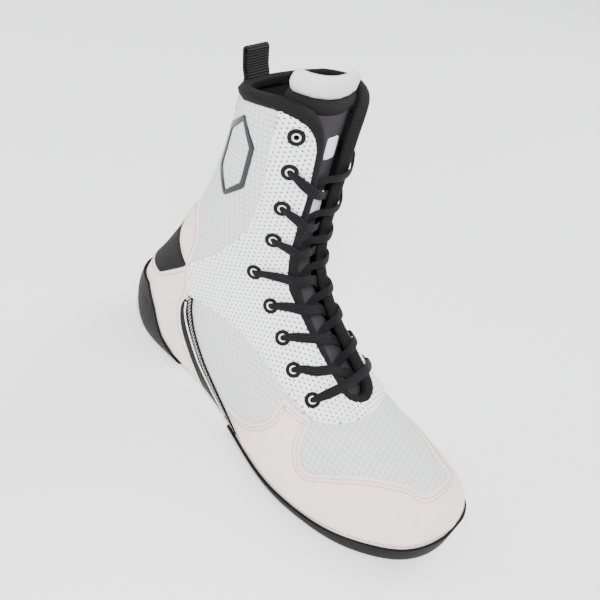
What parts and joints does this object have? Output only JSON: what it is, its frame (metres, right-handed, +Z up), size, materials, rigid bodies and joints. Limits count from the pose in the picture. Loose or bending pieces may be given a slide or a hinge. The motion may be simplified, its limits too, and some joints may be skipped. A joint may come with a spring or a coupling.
{
  "type": "boxing boot",
  "caption": "High-top lace-up boxing boot for the right foot, with split rubber sole, perforated eyestays, padded tongue and heel pull tab.",
  "frame": {"origin": "on the ground under the middle of the boot's outline", "axes": "+X to the toe, +Y to the inner (medial) side of the right foot, +Z up"},
  "size_m": [0.2979, 0.1131, 0.2625],
  "materials": {
    "air_mesh": "white hexagon air mesh",
    "perforated_film": "white perforated synthetic, smooth",
    "suede": "pale warm-grey microfibre suede",
    "black_webbing": "near-black woven tape",
    "black_mesh": "near-black mesh",
    "tongue_grey": "dark grey knit",
    "white_lining": "white brushed lining",
    "foam": "open-cell foam",
    "stiffener": "thermoplastic stiffener",
    "black_rubber": "satin black rubber",
    "midsole_eva": "pale moulded foam",
    "black_tpu": "satin black moulded strip",
    "braid": "black and white rope braid",
    "gloss_black": "gloss black heat transfer",
    "white_print": "white print",
    "lace_black": "flat woven lace",
    "washer_white": "white punched edge",
    "board": "fibre board",
    "shank_steel": "spring steel"
  },
  "bodies": {
    "boot": {"quarter_lateral": "air_mesh", "quarter_medial": "air_mesh", "vamp": "air_mesh", "heel_counter": "stiffener", "toe_puff": "stiffener", "collar_padding": "foam", "spacer_foam": "foam", "lining": "black_mesh", "eyestay_lateral": "perforated_film", "eyestay_medial": "perforated_film", "toe_cap": "suede", "heel_foxing": "suede", "heel_strap": "black_webbing", "ankle_patches": "suede", "side_scoops": "black_tpu", "side_braids": "braid", "side_badges": "gloss_black", "edge_binding": "black_webbing", "eyelet_rings": "black_webbing", "eyelet_washers": "washer_white", "lace": "lace_black", "aglets": "gloss_black", "tongue_front": "tongue_grey", "tongue_padding": "foam", "tongue_lining": "white_lining", "tongue_trim": "black_mesh", "lace_keeper": "white_print", "tongue_badge": "white_print", "pull_tab_base": "black_webbing", "forefoot_outsole": "black_rubber", "heel_outsole": "black_rubber", "midsole": "midsole_eva", "arch_shank": "shank_steel", "strobel_board": "board", "insole": "black_mesh"},
    "tongue_lip": {"tongue_lip": "white_lining"},
    "pull_tab": {"pull_tab": "black_webbing"}
  },
  "joints": [
    {"name": "tongue_lip_fold", "type": "hinge", "parent": "boot", "child": "tongue_lip", "pos_m": [-0.0399, 0.005, 0.25], "axis": [0, 1, 0], "range_deg": [-10, 40], "stiffness_Nm_per_rad": 0.02},
    {"name": "pull_tab_fold", "type": "hinge", "parent": "boot", "child": "pull_tab", "pos_m": [-0.105, 0.005, 0.2334], "axis": [0, 1, 0], "range_deg": [-60, 75], "stiffness_Nm_per_rad": 0.01}
  ]
}
